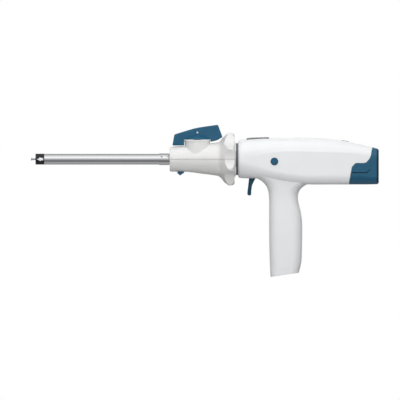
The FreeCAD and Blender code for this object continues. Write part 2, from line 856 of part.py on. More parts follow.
crank_top = d.boss_top - d.boss_roof - d.loose_gap
crank_low = link_top + d.yoke_thickness - d.link_thickness + 1.0
stem = cylinder("stem", d.pivot_radius, stem_top - crank_low, (boss_x, 0, crank_low))
crank_disc = cylinder("crank_disc", d.crank_disc_radius, crank_top - crank_low, (boss_x, 0, crank_low))
crank_pin = cylinder("crank_pin", d.crank_pin_radius, crank_low - d.link_level + 0.4,
                     (boss_x, -d.crank_radius, d.link_level - 0.4))
pivot = cut("pivot", fuse("pivot_solid", [stem, crank_disc, crank_pin]), [pin_bore])
node(pivot, "lever_pivot")
cross_pin = cylinder("cross_pin", d.lever_pin_radius, d.lever_thickness + 0.4,
                     (boss_x, -d.lever_thickness / 2 - 0.2, d.lever_pin_level), "Y")
node(cross_pin, "lever_pin")

# Articulation link: a flat bar beside the rod, with a slotted yoke under the crank pin

yoke_rear = boss_x + d.yoke_length / 2
link_bar = box("link_bar", (d.link_front, -d.link_width / 2, d.link_level),
               (yoke_rear - 1.0, d.link_width / 2, link_top))
link_hook = box("link_hook", (d.link_front, -d.link_width / 2, d.link_level - 0.5),
                (d.link_front + 2.0, d.link_width / 2, link_top))
yoke_plate = box("yoke_plate", (boss_x - d.yoke_length / 2, -d.crank_radius - 4.5, d.link_level),
                 (yoke_rear, d.link_width / 2, d.link_level + d.yoke_thickness))
yoke_half = d.crank_pin_radius + d.crank_play
yoke_slot = box("yoke_slot", (boss_x - yoke_half, -d.crank_radius - 2.4, 0.0),
                (boss_x + yoke_half, -d.crank_radius * 0.7 + 2.1, FAR))
link = cut("link", fuse("link_solid", [link_bar, link_hook, yoke_plate]), [yoke_slot])
node(link, "articulation_link")

# Unload slider: a ridge outside, a neck in the slot and a keeper inside

ridge_x = knob_front + d.slider_offset
ridge_top = -(d.knob_waist_radius + 0.25)
ridge = plate("ridge", [
    (ridge_x, ridge_top),
    (ridge_x + d.slider_length, ridge_top),
    (ridge_x + d.slider_length * 0.45, ridge_top - d.slider_height, 0.5),
], d.slider_width)
neck_front = slot_front + 0.2
neck_rear = neck_front + d.slider_length - 2.0
keeper_top = -(cavity_radius - 1.5)
neck = box("neck", (neck_front, -d.slider_neck / 2, ridge_top - 0.2),
           (neck_rear, d.slider_neck / 2, keeper_top - 0.4))
keeper = box("keeper", (neck_front - 1.0, -d.slider_neck / 2 - 0.7, keeper_top - 0.8),
             (neck_rear + 1.0, d.slider_neck / 2 + 0.7, keeper_top))
node(fuse("slider", [ridge, neck, keeper]), "unload_button")

# Nose of the handle: dark ring and bearing bush

nose_ring = ring("nose_ring_sleeve", d.nose_ring_radius, d.hub_radius + d.loose_gap,
                 d.nose_ring_length - d.seat_gap,
                 (knob_rear + d.loose_gap, 0, 0), "X")
bush_radius = d.hub_radius + d.bush_wall
bush = turned("bush", [
    (nose_x, d.hub_radius + d.running_gap),
    (nose_x, bush_radius),
    (nose_x + d.nose_wall, bush_radius),
    (nose_x + d.nose_wall, bush_radius + 2.0),
    (nose_x + d.nose_wall + d.bush_flange, bush_radius + 2.0),
    (nose_x + d.nose_wall + d.bush_flange, d.hub_radius + d.running_gap),
])
node(nose_ring, "nose_ring")
node(bush, "nose_bush")

# Trigger and its pin

trigger_x = nose_x + d.trigger_offset
lever_arm = plate("lever_arm", [
    (trigger_x - d.trigger_eye, d.trigger_level + 4.0, 3.4),
    (trigger_x + d.trigger_eye, d.trigger_level + 4.0, 3.4),
    (trigger_x + d.trigger_eye, d.trigger_level - 7.0, 4.0),
    (trigger_x - 0.9, d.trigger_level - 17.0, 14.0),
    (trigger_x - 1.7, d.trigger_level - 24.0, 3.0),
    (trigger_x - 1.6, -d.trigger_tip_low, 1.8),
    (trigger_x - 6.0, -d.trigger_tip_low, 1.8),
    (trigger_x - 5.9, d.trigger_level - 24.0, 6.0),
    (trigger_x - d.trigger_eye, d.trigger_level - 8.0, 8.0),
], d.trigger_width)
pin_hole = cylinder("pin_hole", d.trigger_pin_radius + d.running_gap, FAR,
                    (trigger_x, -FAR / 2, d.trigger_level), "Y")
node(cut("trigger_whole", lever_arm, [pin_hole]), "trigger")
pin_half = d.trigger_width / 2 + 6.0
trigger_pin = cylinder("trigger_pin_rod", d.trigger_pin_radius, pin_half * 2,
                       (trigger_x, -pin_half, d.trigger_level), "Y")
node(trigger_pin, "trigger_pin")

# Shell: wall, ribs round the motor, screw bosses and trigger bosses, then the openings

motor_hole = cylinder("motor_hole", d.motor_radius + d.seat_gap, d.motor_length + 40.0,
                      (drive_x, 0, d.motor_top + 20.0), "-Z")
ribs = []
for index, share in enumerate((0.1, 0.5, 0.9)):
    level = d.motor_top - d.motor_length * share
    ribs.append(box(f"rib{index}", (nose_x, -FAR, level - d.rib_thickness / 2),
                    (nose_x + FAR * 2, FAR, level + d.rib_thickness / 2)))
motor_foot = d.motor_top - d.motor_length
stop = box("motor_stop", (nose_x, -FAR, motor_foot - 4.0), (nose_x + FAR * 2, FAR, motor_foot))
rib_blanks = cut("rib_blanks", fuse("rib_slabs", ribs), [motor_hole])
stop_hole = cylinder("stop_hole", d.motor_radius - 4.0, 20.0, (drive_x, 0, motor_foot + 2.0), "-Z")
stop_blank = cut("stop_blank", stop, [stop_hole])

SHELL_SCREWS = [(14.0, 12.6), (79.0, -20.2), (92.0, 17.6), (52.0, -117.0)]
rods = []
wells = []
shell_screws = []
for index, (back, level) in enumerate(SHELL_SCREWS):
    spot = (nose_x + back, level)
    rods.append(cylinder(f"shell_boss{index}", d.screw_boss_radius, 2 * FAR, (spot[0], -FAR, level), "Y"))
    wells.append(cylinder(f"shell_hole{index}", d.screw_radius + d.seat_gap, 22.0,
                          (spot[0], -11.0, level), "Y"))
    wells.append(cylinder(f"shell_well{index}", d.screw_head_radius + 0.3, FAR, (spot[0], 8.0, level), "Y"))
    shank = cylinder(f"shell_shank{index}", d.screw_radius, 19.0, (spot[0], -10.9, level), "Y")
    cap = cylinder(f"shell_cap{index}", d.screw_head_radius, 2.4, (spot[0], 8.0, level), "Y")
    shell_screws.append(fuse(f"shell_screw{index}", [shank, cap]))
for hand, start in (("near", -FAR), ("far", d.trigger_width / 2 + 0.4)):
    rods.append(cylinder(f"trigger_boss_{hand}", d.trigger_pin_radius + 1.7,
                         FAR - d.trigger_width / 2 - 0.4, (trigger_x, start, d.trigger_level), "Y"))
bosses = common("shell_bosses", fuse("boss_rods", rods), outside)
inner_frames = common("inner_frames", fuse("frame_blanks", [rib_blanks, stop_blank]), hollow)
shell_wall = cut("shell_wall", outside, [hollow])
shell_solid = fuse("shell_solid", [shell_wall, inner_frames, bosses])

window_x = nose_x + d.window_offset
window_side = d.window_width / 2
window_hole = box("window_hole", (window_x, -window_side, 12.0),
                  (window_x + d.window_length, window_side, FAR))
lens_x = nose_x + d.lens_offset
lens_side = d.lens_width / 2
lens_hole = box("lens_hole", (lens_x, -lens_side, 12.0), (lens_x + d.lens_length, lens_side, FAR))
button_x = nose_x + d.button_offset
button_hole = cylinder("button_hole", d.bezel_radius, FAR, (button_x, -15.0, d.button_level), "-Y")
trigger_slot = box("trigger_slot",
                   (nose_x + d.trigger_slot_front, -d.trigger_width / 2 - 0.4, -FAR / 2),
                   (nose_x + d.trigger_slot_rear, d.trigger_width / 2 + 0.4, d.trigger_level - 6.0))
bush_hole = cylinder("bush_hole", bush_radius, d.nose_wall + 3.0, (nose_x - 1.0, 0, 0), "X")
pin_seat = cylinder("pin_seat", d.trigger_pin_radius, pin_half * 2,
                    (trigger_x, -pin_half, d.trigger_level), "Y")
shell_whole = cut("shell_whole", shell_solid,
                  [window_hole, lens_hole, button_hole, trigger_slot, bush_hole, pin_seat,
                   pack_prism("pack_room", 0.0)] + wells)
left_space = box("left_space", (nose_x - 1.0, -FAR, -FAR * 3), (nose_x + FAR * 4, -d.seam_gap / 2, FAR))
right_space = box("right_space", (nose_x - 1.0, d.seam_gap / 2, -FAR * 3), (nose_x + FAR * 4, FAR, FAR))
node(common("left_half", shell_whole, left_space), "left_shell")
node(common("right_half", shell_whole, right_space), "right_shell")
node(group("shell_screw_set", shell_screws), "shell_screws")

# Window and lens fill their openings and stand a little proud of the body

window_layer = cut("window_layer", copy_of("window_skin", outer_body, (0.0, 0.0, d.window_proud)), [inner_body])
lens_layer = cut("lens_layer", copy_of("lens_skin", outer_body, (0.0, 0.0, d.lens_proud)), [inner_body])
window_fill = box("window_fill", (window_x + 0.1, -window_side + 0.1, 12.0),
                  (window_x + d.window_length - 0.1, window_side - 0.1, FAR))
lens_fill = box("lens_fill", (lens_x + 0.1, -lens_side + 0.1, 12.0),
                (lens_x + d.lens_length - 0.1, lens_side - 0.1, FAR))
node(common("window", window_layer, window_fill), "status_window")
node(common("lens", lens_layer, lens_fill), "indicator_lens")

# Arming button, its bezel and switch

wall_side = body_rows[3][3]
button_face = -(wall_side + d.button_proud)
bezel = ring("bezel", d.bezel_radius - 0.02, d.button_radius + d.running_gap, d.shell_wall + 0.8,
             (button_x, -wall_side - 0.4, d.button_level), "Y")
node(bezel, "button_bezel")
cap = cylinder("button_cap", d.button_radius, d.button_proud + d.shell_wall,
               (button_x, button_face, d.button_level), "Y")
button_stem = cylinder("button_stem", 1.4, d.button_stem + d.button_proud + d.shell_wall,
                       (button_x, button_face, d.button_level), "Y")
keep = cylinder("button_keep", d.button_radius + 0.5, 1.0,
                (button_x, -wall_side + d.shell_wall + 0.7, d.button_level), "Y")
keep_post = cylinder("keep_post", d.button_radius - 0.6, 2.2,
                     (button_x, -wall_side + 0.5, d.button_level), "Y")
node(fuse("button", [cap, button_stem, keep_post, keep]), "arming_button")

# Gear train: tooth outlines by the involute's own formula

MODULE = number_of(d.tooth_module)
ANGLE = math.radians(number_of(d.pressure_angle))
ADDENDUM = number_of(d.tooth_addendum) * MODULE
DEDENDUM = number_of(d.tooth_dedendum) * MODULE
BACKLASH = number_of(d.tooth_backlash)


def half_tooth(radius, pitch):
    """Half the angle that an involute tooth takes at a radius."""
    base = pitch * math.cos(ANGLE)
    start = (math.pi * MODULE / 4 - BACKLASH / 2) / pitch
    roll = math.acos(min(1.0, base / max(radius, base)))
    return start + (math.tan(ANGLE) - ANGLE) - (math.tan(roll) - roll)


def tooth_marks(pitch):
    """Radii on one flank, from the root to the tip, with the half angle at each."""
    base = pitch * math.cos(ANGLE)
    low = max(base, pitch - DEDENDUM + 0.25 * MODULE)
    high = pitch + ADDENDUM
    middle = (low + high) / 2
    marks = [(pitch - DEDENDUM, half_tooth(low, pitch))]
    marks += [(radius, half_tooth(radius, pitch)) for radius in (low, middle, high)]
    return marks


def spur_wire(teeth, level):
    """The closed outline of a spur gear at one level of its axis, with a tooth on +X."""
    marks = tooth_marks(MODULE * teeth / 2)
    points = []
    for tooth in range(teeth):
        centre = 2 * math.pi * tooth / teeth
        for radius, half in marks:
            points.append(Vector(radius * math.cos(centre - half), radius * math.sin(centre - half), level))
        for radius, half in reversed(marks):
            points.append(Vector(radius * math.cos(centre + half), radius * math.sin(centre + half), level))
    return Part.makePolygon(points + points[:1])


def bevel_wire(teeth, mate, share, phase):
    """The outline of a bevel gear on a plane across its axis, at a share of the way to its face."""
    pitch = MODULE * teeth / 2
    reach = MODULE * mate / 2
    slope = math.atan2(pitch, reach)
    cone_length = math.hypot(pitch, reach)
    points = []
    flank = []
    for radius, half in tooth_marks(pitch / math.cos(slope)):
        lift = radius - pitch / math.cos(slope)
        angle = half * radius / (pitch + lift * math.cos(slope))
        flank.append((reach * math.tan(slope + lift / cone_length) * share, angle))
    for tooth in range(teeth):
        centre = 2 * math.pi * (tooth + phase) / teeth
        for radius, half in flank:
            edge = centre - half
            points.append(Vector(radius * math.cos(edge), radius * math.sin(edge), reach * share))
        for radius, half in reversed(flank):
            edge = centre + half
            points.append(Vector(radius * math.cos(edge), radius * math.sin(edge), reach * share))
    return Part.makePolygon(points + points[:1])


def bevel_teeth(teeth, mate, phase):
    """The toothed ring of a bevel gear, with the apex of its cone at the origin and its back at +Z."""
    wires = [bevel_wire(teeth, mate, share, phase) for share in (number_of(d.bevel_inner_share), 1.0)]
    return Part.makeLoft(wires, True, True)


def shaped(name, shape, where, along="Z"):
    """A piece whose shape comes from a formula."""
    thing = doc.addObject("Part::Feature", name)
    thing.Shape = shape
    return stand(thing, where, along)


pinion_count = int(number_of(d.pinion_teeth))
gear_count = int(number_of(d.bevel_gear_teeth))
bevel_count = int(number_of(d.bevel_pinion_teeth))
pinion_pitch = d.tooth_module * d.pinion_teeth / 2
gear_pitch = d.tooth_module * d.bevel_gear_teeth / 2
bevel_pitch = d.tooth_module * d.bevel_pinion_teeth / 2
cross_z = d.cross_shaft_level

pinion_blank = Part.Face(spur_wire(pinion_count, 0.0)).extrude(Vector(0, 0, number_of(d.pinion_width)))
pinion_body = shaped("pinion_body", pinion_blank, (drive_x, -d.pinion_width / 2, cross_z), "Y")
cross_bore = cylinder("cross_bore", d.cross_shaft_radius, FAR, (drive_x, -FAR / 2, cross_z), "Y")
node(cut("spur", pinion_body, [cross_bore]), "drive_pinion")

gear_ring = shaped("gear_ring", bevel_teeth(gear_count, bevel_count, 0.0), (drive_x, 0.0, cross_z), "Y")
gear_back = cone("gear_back", gear_pitch - 2.3, gear_pitch - 4.0, 2.0, (drive_x, bevel_pitch, cross_z), "Y")
gear_hub = cylinder("gear_hub", 4.4, 3.6, (drive_x, bevel_pitch, cross_z), "Y")
node(cut("bevel_wheel", fuse("bevel_wheel_solid", [gear_ring, gear_back, gear_hub]), [cross_bore]), "bevel_gear")

shaft_start = -(d.left_frame_side + 0.8)
shaft_stop = d.right_frame_side + 0.8
cross_shaft = cylinder("cross_rod", d.cross_shaft_radius, shaft_stop - shaft_start,
                       (drive_x, shaft_start, cross_z), "Y")
node(cross_shaft, "cross_shaft")

output_top = cross_z - gear_pitch * d.bevel_inner_share + 0.3
gearbox_top = d.motor_top + d.gearbox_length
base_level = gearbox_top + 4.0
output_bore = cylinder("output_bore", d.output_shaft_radius, FAR, (drive_x, 0, cross_z), "-Z")
pinion_ring = shaped("pinion_ring", bevel_teeth(bevel_count, gear_count, 0.5), (drive_x, 0.0, cross_z), "-Z")
pinion_hub = cylinder("pinion_hub", bevel_pitch - 1.7, 4.4, (drive_x, 0, cross_z - gear_pitch), "-Z")
node(cut("bevel_small", fuse("bevel_small_solid", [pinion_ring, pinion_hub]), [output_bore]), "bevel_pinion")
output_shaft = cylinder("output_rod", d.output_shaft_radius, output_top - gearbox_top - 0.4,
                        (drive_x, 0, gearbox_top + 0.4))
node(output_shaft, "output_shaft")

# Rack: a bar with straight teeth below, which a pinion drives towards the tip

pitch_length = d.tooth_module * Size(math.pi, "pi")
rack_pitch_z = cross_z + pinion_pitch
rack_root = rack_pitch_z + d.tooth_dedendum * d.tooth_module
rack_tip = rack_pitch_z - d.tooth_addendum * d.tooth_module
rack_end = nose_x + d.rack_rear
rack_bar = box("rack_bar", (rack_front, -d.pinion_width / 2, rack_tip),
               (rack_end, d.pinion_width / 2, d.rack_top))
flank_slope = Size(math.tan(ANGLE), f"tan({d.pressure_angle.text})")
gap_half = pitch_length / 4 + d.tooth_backlash / 2
gap_low = gap_half + flank_slope * d.tooth_addendum * d.tooth_module
gap_high = gap_half - flank_slope * d.tooth_dedendum * d.tooth_module
gap_tool = plate("gap_tool", [
    (-gap_low - flank_slope * 0.5, rack_tip - 0.5),
    (gap_low + flank_slope * 0.5, rack_tip - 0.5),
    (gap_high, rack_root),
    (-gap_high, rack_root),
], d.pinion_width + 2.0)
gap_count = int(number_of(d.firing_stroke) / (math.pi * MODULE)) + 3
gaps = []
for index in range(gap_count):
    gaps.append(copy_of(f"rack_gap{index}", gap_tool, (drive_x + pitch_length * (index - 1), 0.0, 0.0)))
rack_stub = cylinder("rack_stub", 3.0, 4.0, (rack_front - 4.0, 0, 0), "X")
rack = cut("rack", fuse("rack_solid", [rack_bar, rack_stub]), gaps)
node(rack, "drive_rack")

coupler_rod = cylinder("coupler_rod", d.coupler_radius, d.coupler_length, (coupler_x, 0, 0), "X")
coupler_tools = [
    cylinder("coupler_stub_hole", 3.0 + d.seat_gap, 5.0, (rack_front - 4.2, 0, 0), "X"),
    cylinder("coupler_pocket", d.rod_disc_radius + d.loose_gap, d.rod_disc_length + 0.4,
             (disc_x - 0.1, 0, 0), "X"),
    cylinder("coupler_mouth", rod_bore, 5.0, (coupler_x - 1.0, 0, 0), "X"),
    box("coupler_pocket_way", (disc_x - 0.1, -d.rod_disc_radius - d.loose_gap, -FAR / 4),
        (disc_x + d.rod_disc_length + 0.3, d.rod_disc_radius + d.loose_gap, 0.0)),
    box("coupler_mouth_way", (coupler_x - 1.0, -rod_bore, -FAR / 4), (disc_x, rod_bore, 0.0)),
]
node(cut("coupler", coupler_rod, coupler_tools), "rack_coupler")

# Frames on both sides of the gears, their bushes and the rack guide

frame_front = drive_x - d.frame_reach
frame_rear = drive_x + d.guide_offset + d.guide_length
FRAME_SHAPE = [
    (frame_front, d.board_level),
    (frame_rear, d.board_level),
    (frame_rear, cross_z - 3.0, 3.0),
    (drive_x + 12.0, cross_z - 14.0, 3.0),
    (drive_x + 8.0, base_level),
    (drive_x - 8.0, base_level),
    (frame_front + 0.6, cross_z - 10.0, 3.0),
]
left_y = -(d.left_frame_side - d.frame_thickness / 2)
right_y = d.right_frame_side - d.frame_thickness / 2
left_plate = plate("left_plate", FRAME_SHAPE, d.frame_thickness, level=-left_y)
right_plate = plate("right_plate", FRAME_SHAPE, d.frame_thickness, level=-right_y)
switch_front = trigger_x + d.trigger_eye + 3.4
switch_tab = box("switch_tab", (switch_front, -d.left_frame_side, d.trigger_level - 3.0),
                 (frame_front + 1.0, d.frame_thickness - d.left_frame_side, d.trigger_level + 3.0))
bush_bore = cylinder("bush_bore", 3.5, FAR, (drive_x, -FAR / 2, cross_z), "Y")
floor_low = base_level
floor = box("frame_floor", (drive_x - 8.0, -d.left_frame_side, floor_low),
            (drive_x + 8.0, d.right_frame_side - d.frame_thickness, floor_low + d.frame_thickness))
floor_bore = cylinder("floor_bore", 4.0, 20.0, (drive_x, 0, floor_low - 5.0))
left_frame = cut("left_frame", fuse("left_frame_solid", [left_plate, switch_tab, floor]), [bush_bore, floor_bore])
right_frame = cut("right_frame", right_plate, [bush_bore])
node(left_frame, "gear_frame_left")
node(right_frame, "gear_frame_right")

bushes = [
    ring("cross_bush_left", 3.5, d.cross_shaft_radius + d.running_gap, d.frame_thickness + 0.6,
         (drive_x, -d.left_frame_side - 0.3, cross_z), "Y"),
    ring("cross_bush_right", 3.5, d.cross_shaft_radius + d.running_gap, d.frame_thickness + 0.6,
         (drive_x, d.right_frame_side - d.frame_thickness - 0.3, cross_z), "Y"),
    ring("output_bush", 4.0, d.output_shaft_radius + d.running_gap, d.frame_thickness + 0.3,
         (drive_x, 0, floor_low)),
]
node(group("bush_set", bushes), "shaft_bushes")

guide_front = drive_x + d.guide_offset
guide_block = box("guide_block", (guide_front, -d.left_frame_side + d.frame_thickness, cross_z),
                  (frame_rear, d.right_frame_side - d.frame_thickness, d.board_level - 2.0))
guide_top = box("guide_top", (drive_x - 4.0, -d.left_frame_side + d.frame_thickness, d.rack_top + d.loose_gap),
                (guide_front + 1.0, d.pinion_width / 2 + 0.6, d.rack_top + d.loose_gap + 2.5))
guide_window = box("guide_window",
                   (guide_front - 1.0, -d.pinion_width / 2 - d.loose_gap, rack_tip - d.loose_gap),
                   (frame_rear + 1.0, d.pinion_width / 2 + d.loose_gap, d.rack_top + d.loose_gap))
node(cut("guide", fuse("guide_solid", [guide_block, guide_top]), [guide_window]), "rack_guide")

# Motor and gearbox stand in the grip

motor_can = cylinder("motor_can", d.motor_radius, d.motor_length - 3.0, (drive_x, 0, d.motor_top), "-Z")
motor_boss = cylinder("motor_boss", d.motor_radius - 4.5, 3.0, (drive_x, 0, motor_foot + 3.0), "-Z")
motor = fuse("motor_solid", [motor_can, motor_boss])
node(motor, "motor")
gearbox_can = cylinder("gearbox_can", d.motor_radius, d.gearbox_length, (drive_x, 0, d.motor_top))
gearbox_boss = cylinder("gearbox_boss", 6.0, base_level - gearbox_top, (drive_x, 0, gearbox_top))
gearbox_bore = cylinder("gearbox_bore", d.output_shaft_radius + d.running_gap, 6.0, (drive_x, 0, gearbox_top))
node(cut("gearbox_whole", fuse("gearbox_solid", [gearbox_can, gearbox_boss]), [gearbox_bore]), "gearbox")

# Boards and switches

board_front = nose_x + d.board_front
board_rear = nose_x + d.board_rear
board_half = d.board_width / 2
board = box("board", (board_front, -board_half, d.board_level),
            (board_rear, board_half, d.board_level + d.board_thickness))
board_notch = cylinder("board_notch", d.screw_boss_radius + 0.5, FAR,
                       (nose_x + SHELL_SCREWS[2][0], -FAR / 2, SHELL_SCREWS[2][1]), "Y")
node(cut("control_board_solid", board, [board_notch]), "control_board")
window_low = body_rows[2][2] - d.shell_wall
display = box("display", (window_x + 2.0, -window_side + 1.0, window_low - 3.2),
              (window_x + d.window_length - 2.0, window_side - 1.0, window_low - 2.0))
lamps = []
for index, share in enumerate((0.2, 0.5, 0.8)):
    lamps.append(box(f"lamp{index}", (window_x + d.window_length * share - 2.0, -3.0, window_low - 2.0),
                     (window_x + d.window_length * share + 2.0, 3.0, window_low - 0.6)))
node(fuse("display_solid", [display] + lamps), "display_board")

trigger_switch = box("trigger_switch_box",
                     (switch_front, d.frame_thickness - d.left_frame_side, d.trigger_level - 3.0),
                     (switch_front + 6.4, 3.0, d.trigger_level + 3.0))
node(trigger_switch, "trigger_switch")
stem_end = -(wall_side - d.button_stem - d.shell_wall)
arming_switch = box("arming_switch_box", (button_x - 4.0, stem_end + d.button_travel + 0.1, d.button_level - 3.5),
                    (button_x + 4.0, -d.left_frame_side, d.button_level + 3.5))
node(arming_switch, "arming_switch")

# Battery pack: case that closes the rear, cell box, cells, terminals and side latches

pack_solid = pack_prism("pack_solid", d.seam_gap)
before, last = body_rows[-2], body_rows[-1]
pack_end = nose_x + last[0]
rear_side = plate("rear_side", [
    (pack_x, before[1] - FAR),
    (nose_x + before[0], before[1] - d.skin_gap),
    (pack_end, last[1] - d.skin_gap, d.rear_edge),
    (pack_end, last[2] + d.skin_gap, d.rear_edge),
    (nose_x + before[0], before[2] + d.skin_gap),
    (pack_x, before[2] + FAR),
], 2 * FAR)
rear_top = plate("rear_top", [
    (pack_x, -before[3] - FAR),
    (nose_x + before[0], -before[3] - d.skin_gap),
    (pack_end, -last[3] - d.skin_gap, d.rear_edge),
    (pack_end, last[3] + d.skin_gap, d.rear_edge),
    (nose_x + before[0], before[3] + d.skin_gap),
    (pack_x, before[3] + FAR),
], 2 * FAR, "XY_Plane")
case_form = common("case_form", common("case_side_form", outer_body, rear_side), rear_top)
case_blank = common("case_blank", case_form, pack_solid)
latch_rear = nose_x + d.latch_rear_offset
latch_bend = latch_rear - d.latch_slope
latch_hold = latch_rear + d.seat_gap


def latch_outline(gap):
    """The latch seen from the side. Its front and top follow the edge of the pack."""
    return [
        (nose_x + d.pack_front, d.latch_low - gap),
        (latch_bend + gap, d.latch_low - gap),
        (latch_rear + gap / 2, d.latch_low + d.latch_slope - gap / 2),
        (latch_hold, d.latch_low + d.latch_slope + 1.0),
        (latch_hold, FAR / 2),
        (nose_x + d.pack_front, FAR / 2),
    ]


latch_hole = plate("latch_hole", latch_outline(d.latch_gap), 2 * FAR)
battery_case = cut("case_whole", case_blank, [inner_body, latch_hole])
node(battery_case, "battery_case")

latch_blank = plate("latch_blank", latch_outline(0.0), 2 * FAR)
latch_core = new_body("latch_core")
loft(latch_core, body_sections(latch_core, d.latch_depth, 0.0))
latch_pair = cut("latch_pair", common("latch_bar", case_blank, latch_blank), [latch_core])
near_space = box("near_space", (nose_x, -FAR, -FAR), (nose_x + FAR * 4, 0.0, FAR))
far_space = box("far_space", (nose_x, 0.0, -FAR), (nose_x + FAR * 4, FAR, FAR))
node(common("latch_near", latch_pair, near_space), "latch_left")
node(common("latch_far", latch_pair, far_space), "latch_right")

tray_inset = d.shell_wall + d.loose_gap
tray_rear = nose_x + body_rows[9][0] - tray_inset
tray_form = new_body("tray_form")
loft(tray_form, body_sections(tray_form, tray_inset, 0.0))
tray_room = new_body("tray_room")
loft(tray_room, body_sections(tray_room, tray_inset + d.pack_wall, 0.0))
tray_box = box("tray_box", (pack_x, -FAR, -FAR), (tray_rear - 0.5, FAR, d.pack_high))


def tray_gauge(name, inset):
    """The straight way out for the cell box, as wide and round as the rear end of the shells."""
    half = body_rows[-1][3] - tray_inset - inset
    bend = body_rows[-1][4] - d.shell_wall - inset
    corners = [(-half, -FAR), (half, -FAR), (half, d.pack_high - inset, bend), (-half, d.pack_high - inset, bend)]
    owner = new_body(name)
    pad(owner, outline(drawing(owner, "YZ_Plane", pack_x), corners), FAR * 2)
    return owner


room_box = box("room_box", (pack_x + d.pack_cover, -FAR, -FAR),
               (tray_rear - 0.5 - d.pack_wall, FAR, d.pack_high - d.pack_wall))
tray_out = common("tray_out", common("tray_way", tray_form, tray_gauge("tray_gauge", 0.0)), tray_box)
tray_in = common("tray_in", common("room_way", tray_room, tray_gauge("room_gauge", d.pack_wall)), room_box)
terminal_spots = [(-10.0, -14.0), (10.0, -14.0)]
blades = []
blade_ways = []
contacts = []
for index, (side, level) in enumerate(terminal_spots):
    blades.append(box(f"blade{index}", (pack_x - 3.2, side - 2.5, level - 0.5),
                      (pack_x + 0.8, side + 2.5, level + 0.5)))
    blade_ways.append(box(f"blade_way{index}", (pack_x - 1.0, side - 2.5, level - 0.5),
                          (pack_x + 0.8, side + 2.5, level + 0.5)))
node(cut("tray_whole", tray_out, [tray_in] + blade_ways), "battery_tray")
node(group("blade_set", blades), "battery_terminals")

cells = []
cell_start = pack_x + d.pack_cover + d.cell_gap
for side_index, side in enumerate((-1.0, 1.0)):
    for row_index, row in enumerate((-1.0, 1.0)):
        name = f"cell{side_index}{row_index}"
        half_pitch = d.cell_radius + d.cell_gap / 2
        spot = (cell_start, half_pitch * side, d.cell_level + half_pitch * row)
        can = cylinder(name + "_can", d.cell_radius, d.cell_length - 1.2, spot, "X")
        cap = cylinder(name + "_cap", 3.0, 1.2, (cell_start + d.cell_length - 1.2, spot[1], spot[2]), "X")
        cells.append(fuse(name, [can, cap]))
node(group("cell_set", cells), "battery_cells")

# Bulkhead in front of the pack, with the sockets for its blades

bulk_x = nose_x + d.bulkhead_offset
bulk_form = common("bulk_form", inner_body,
                   box("bulk_box", (bulk_x, -FAR, -FAR), (bulk_x + d.bulkhead_thickness, FAR, FAR)))
bulk_ways = []
for index, (side, level) in enumerate(terminal_spots):
    bulk_ways.append(box(f"bulk_way{index}", (bulk_x - 1.0, side - 4.0, level - 3.0),
                         (bulk_x + 4.0, side + 4.0, level + 3.0)))
    block = box(f"contact_block{index}", (bulk_x - 4.0, side - 4.0, level - 3.0),
                (bulk_x + d.bulkhead_thickness, side + 4.0, level + 3.0))
    way = box(f"contact_way{index}", (bulk_x - 2.5, side - 2.7, level - 0.7),
              (bulk_x + 4.0, side + 2.7, level + 0.7))
    contacts.append(cut(f"contact{index}", block, [way]))
node(cut("bulkhead_whole", bulk_form, bulk_ways), "battery_bulkhead")
node(group("contact_set", contacts), "battery_contacts")

# Check every object, then write one file for each node

doc.recompute()
for item in doc.Objects:
    if "Invalid" in item.State or "Error" in item.State:
        raise RuntimeError(f"{item.Name}: {item.getStatusString()}")
os.makedirs("parts", exist_ok=True)
for item in NODES:
    shape = item.Shape
    if shape.isNull() or not shape.isValid() or not shape.Solids:
        raise RuntimeError(f"{item.Label}: no valid solid")
    shape.exportStep(f"parts/{item.Label}.step")
print(len(NODES), "nodes written")
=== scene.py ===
"""Looks of a powered linear stapler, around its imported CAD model.

X runs from the tip of the shaft to the battery, Z is up, and the photographed side is -Y.
All lengths are in metres.
"""

import json
import math

import bmesh
import bpy
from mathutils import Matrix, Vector


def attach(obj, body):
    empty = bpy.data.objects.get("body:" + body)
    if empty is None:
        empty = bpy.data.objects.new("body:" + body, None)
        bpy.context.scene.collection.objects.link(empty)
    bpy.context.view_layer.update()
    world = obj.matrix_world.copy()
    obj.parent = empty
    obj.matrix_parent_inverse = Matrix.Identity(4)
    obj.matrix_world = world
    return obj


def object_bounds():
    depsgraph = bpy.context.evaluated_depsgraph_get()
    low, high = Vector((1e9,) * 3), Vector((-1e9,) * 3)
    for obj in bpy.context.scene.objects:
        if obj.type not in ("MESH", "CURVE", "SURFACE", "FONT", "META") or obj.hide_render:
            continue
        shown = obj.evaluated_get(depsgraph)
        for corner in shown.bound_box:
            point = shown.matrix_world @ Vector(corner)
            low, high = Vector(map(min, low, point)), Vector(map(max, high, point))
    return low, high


MM = 0.001

# The photograph: its span and centre in metres, a pixel's size, and the pixel at the tip's axis
PHOTO_SPAN = 0.44
PHOTO_CENTRE_X = 0.18095
PHOTO_CENTRE_Z = -0.04497
PHOTO_SCALE = 1.1 * MM
PHOTO_ORIGIN_X = 35.5
PHOTO_ORIGIN_Y = 159.12

# Light: the weak fill from all round, the highest step of the ring of screens and its strength
FILL_COLOUR = (0.96, 0.98, 1.0, 1.0)
FILL_LIGHT = 0.22
RING_PEAK = 1.15
RING_LIGHT = 1.6

# Floor: its size, gap under the grip and centre, its shade as seen and as it lights the object,
# and how far from its centre it starts and ends to fade into white
FLOOR_SIZE = 12.0
FLOOR_GAP = 0.2 * MM
FLOOR_X = 0.2
FLOOR_SEEN = (0.9, 0.9, 0.9, 1.0)
FLOOR_BOUNCE = (0.42, 0.42, 0.42, 1.0)
FADE_START = 0.3
FADE_END = 0.9

